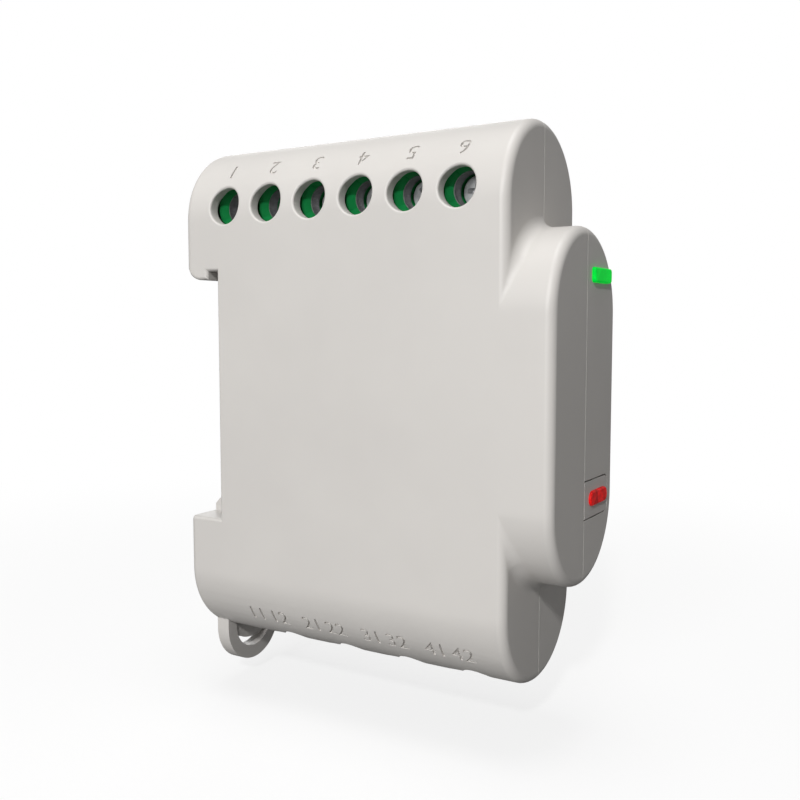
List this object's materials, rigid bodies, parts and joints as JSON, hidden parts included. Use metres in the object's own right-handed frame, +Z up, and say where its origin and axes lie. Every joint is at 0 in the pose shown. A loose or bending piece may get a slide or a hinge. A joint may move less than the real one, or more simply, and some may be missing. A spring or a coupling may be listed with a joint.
{
  "type": "three-phase energy meter",
  "caption": "Slim two-shell rail-mounted energy meter with rounded ends, a raised front with a light bar and a lit button, screw terminals, push-in sensor ports and a sprung pull-ring latch.",
  "frame": {"origin": "on the plane where the mounting rail's face seats, on the parting plane between the two shells, at mid height of the case", "axes": "+Z up along the case's height, +Y out of the back towards the rail, +X towards the shell that carries the lights, away from the shell with the screw access holes"},
  "size_m": [0.022, 0.0585, 0.0793],
  "materials": {
    "case_plastic": "fine satin moulded pale grey",
    "latch_plastic": "satin moulded pale grey",
    "spring_steel": "drawn wire",
    "terminal_green": "semi-gloss moulded green",
    "tinned_copper": "tin plated",
    "cage_steel": "zinc plated",
    "screw_steel": "nickel plated, dull",
    "release_orange": "satin orange",
    "clip_steel": "rolled stainless strip",
    "board_laminate": "green solder mask",
    "small_screw_steel": "zinc plated",
    "green_lens": "tinted clear, lit",
    "button_plastic": "fine satin moulded pale grey",
    "red_lens": "tinted clear",
    "switch_body": "satin black",
    "plunger_plastic": "satin ivory",
    "diode_resin": "clear resin on white",
    "relay_case": "gloss blue",
    "film_case": "gloss ochre",
    "chip_epoxy": "matt black epoxy",
    "crystal_can": "drawn can",
    "radio_laminate": "black solder mask",
    "shield_tin": "tin plated",
    "ferrite": "ground ferrite",
    "winding_tape": "yellow tape",
    "capacitor_sleeve": "shrunk sleeve",
    "resistor_body": "cement coat",
    "choke_body": "shrunk tube",
    "varistor_coat": "dipped blue epoxy",
    "chip_resistor": "glazed black"
  },
  "bodies": {
    "case": {"near_shell": "case_plastic", "far_shell": "case_plastic", "latch_spring": "spring_steel", "mains_terminal_housing": "terminal_green", "mains_contacts": "tinned_copper", "ct_terminal_1": "terminal_green", "ct_terminal_2": "terminal_green", "ct_terminal_3": "terminal_green", "ct_terminal_4": "terminal_green", "ct_clips": "clip_steel", "main_board": "board_laminate", "board_screws": "small_screw_steel", "green_light_pipe": "green_lens", "push_switch": "switch_body", "power_diode": "diode_resin", "status_diode": "diode_resin", "relay": "relay_case", "film_capacitor": "film_case", "metering_chip": "chip_epoxy", "crystal": "crystal_can", "radio_board": "radio_laminate", "radio_shield": "shield_tin", "transformer_core": "ferrite", "transformer_winding": "winding_tape", "bulk_capacitors": "capacitor_sleeve", "fusible_resistor": "resistor_body", "choke": "choke_body", "varistor": "varistor_coat", "burden_resistors": "chip_resistor", "divider_resistors": "chip_resistor"},
    "latch": {"din_latch": "latch_plastic"},
    "button": {"front_button": "button_plastic", "red_light_pipe": "red_lens", "switch_plunger": "plunger_plastic"},
    "screw_1": {"terminal_screw_1": "screw_steel"},
    "screw_2": {"terminal_screw_2": "screw_steel"},
    "screw_3": {"terminal_screw_3": "screw_steel"},
    "screw_4": {"terminal_screw_4": "screw_steel"},
    "screw_5": {"terminal_screw_5": "screw_steel"},
    "screw_6": {"terminal_screw_6": "screw_steel"},
    "cage_1": {"terminal_cage_1": "cage_steel"},
    "cage_2": {"terminal_cage_2": "cage_steel"},
    "cage_3": {"terminal_cage_3": "cage_steel"},
    "cage_4": {"terminal_cage_4": "cage_steel"},
    "cage_5": {"terminal_cage_5": "cage_steel"},
    "cage_6": {"terminal_cage_6": "cage_steel"},
    "release_1": {"ct_release_1": "release_orange"},
    "release_2": {"ct_release_2": "release_orange"},
    "release_3": {"ct_release_3": "release_orange"},
    "release_4": {"ct_release_4": "release_orange"},
    "release_5": {"ct_release_5": "release_orange"},
    "release_6": {"ct_release_6": "release_orange"},
    "release_7": {"ct_release_7": "release_orange"},
    "release_8": {"ct_release_8": "release_orange"}
  },
  "joints": [
    {"name": "latch_slide", "type": "slide", "parent": "case", "child": "latch", "axis": [0, 0, -1], "range_m": [0, 0.0025], "stiffness_N_per_m": 3000, "springref_m": -0.002, "deforming": ["latch_spring"]},
    {"name": "button_press", "type": "slide", "parent": "case", "child": "button", "axis": [0, 1, 0], "range_m": [0, 0.00035], "stiffness_N_per_m": 3000, "springref_m": -0.0003},
    {"name": "screw_1_turn", "type": "hinge", "parent": "case", "child": "screw_1", "pos_m": [-0.0045, -0.0015, 0.02755], "axis": [1, 0, 0], "range_deg": [0, 1296]},
    {"name": "cage_1_rise", "type": "slide", "parent": "case", "child": "cage_1", "axis": [-1, 0, 0], "range_m": [0, 0.0018]},
    {"name": "screw_2_turn", "type": "hinge", "parent": "case", "child": "screw_2", "pos_m": [-0.0045, -0.009, 0.02755], "axis": [1, 0, 0], "range_deg": [0, 1296]},
    {"name": "cage_2_rise", "type": "slide", "parent": "case", "child": "cage_2", "axis": [-1, 0, 0], "range_m": [0, 0.0018]},
    {"name": "screw_3_turn", "type": "hinge", "parent": "case", "child": "screw_3", "pos_m": [-0.0045, -0.0165, 0.02755], "axis": [1, 0, 0], "range_deg": [0, 1296]},
    {"name": "cage_3_rise", "type": "slide", "parent": "case", "child": "cage_3", "axis": [-1, 0, 0], "range_m": [0, 0.0018]},
    {"name": "screw_4_turn", "type": "hinge", "parent": "case", "child": "screw_4", "pos_m": [-0.0045, -0.024, 0.02755], "axis": [1, 0, 0], "range_deg": [0, 1296]},
    {"name": "cage_4_rise", "type": "slide", "parent": "case", "child": "cage_4", "axis": [-1, 0, 0], "range_m": [0, 0.0018]},
    {"name": "screw_5_turn", "type": "hinge", "parent": "case", "child": "screw_5", "pos_m": [-0.0045, -0.0315, 0.02755], "axis": [1, 0, 0], "range_deg": [0, 1296]},
    {"name": "cage_5_rise", "type": "slide", "parent": "case", "child": "cage_5", "axis": [-1, 0, 0], "range_m": [0, 0.0018]},
    {"name": "screw_6_turn", "type": "hinge", "parent": "case", "child": "screw_6", "pos_m": [-0.0045, -0.039, 0.02755], "axis": [1, 0, 0], "range_deg": [0, 1296]},
    {"name": "cage_6_rise", "type": "slide", "parent": "case", "child": "cage_6", "axis": [-1, 0, 0], "range_m": [0, 0.0018]},
    {"name": "release_1_press", "type": "slide", "parent": "case", "child": "release_1", "axis": [0, 0, 1], "range_m": [0, 0.001], "stiffness_N_per_m": 3000, "springref_m": -0.0005},
    {"name": "release_2_press", "type": "slide", "parent": "case", "child": "release_2", "axis": [0, 0, 1], "range_m": [0, 0.001], "stiffness_N_per_m": 3000, "springref_m": -0.0005},
    {"name": "release_3_press", "type": "slide", "parent": "case", "child": "release_3", "axis": [0, 0, 1], "range_m": [0, 0.001], "stiffness_N_per_m": 3000, "springref_m": -0.0005},
    {"name": "release_4_press", "type": "slide", "parent": "case", "child": "release_4", "axis": [0, 0, 1], "range_m": [0, 0.001], "stiffness_N_per_m": 3000, "springref_m": -0.0005},
    {"name": "release_5_press", "type": "slide", "parent": "case", "child": "release_5", "axis": [0, 0, 1], "range_m": [0, 0.001], "stiffness_N_per_m": 3000, "springref_m": -0.0005},
    {"name": "release_6_press", "type": "slide", "parent": "case", "child": "release_6", "axis": [0, 0, 1], "range_m": [0, 0.001], "stiffness_N_per_m": 3000, "springref_m": -0.0005},
    {"name": "release_7_press", "type": "slide", "parent": "case", "child": "release_7", "axis": [0, 0, 1], "range_m": [0, 0.001], "stiffness_N_per_m": 3000, "springref_m": -0.0005},
    {"name": "release_8_press", "type": "slide", "parent": "case", "child": "release_8", "axis": [0, 0, 1], "range_m": [0, 0.001], "stiffness_N_per_m": 3000, "springref_m": -0.0005}
  ],
  "couplings": [
    {"joint": "screw_1_turn", "follows": "cage_1_rise", "rad_per_m": 12566},
    {"joint": "screw_2_turn", "follows": "cage_2_rise", "rad_per_m": 12566},
    {"joint": "screw_3_turn", "follows": "cage_3_rise", "rad_per_m": 12566},
    {"joint": "screw_4_turn", "follows": "cage_4_rise", "rad_per_m": 12566},
    {"joint": "screw_5_turn", "follows": "cage_5_rise", "rad_per_m": 12566},
    {"joint": "screw_6_turn", "follows": "cage_6_rise", "rad_per_m": 12566}
  ]
}
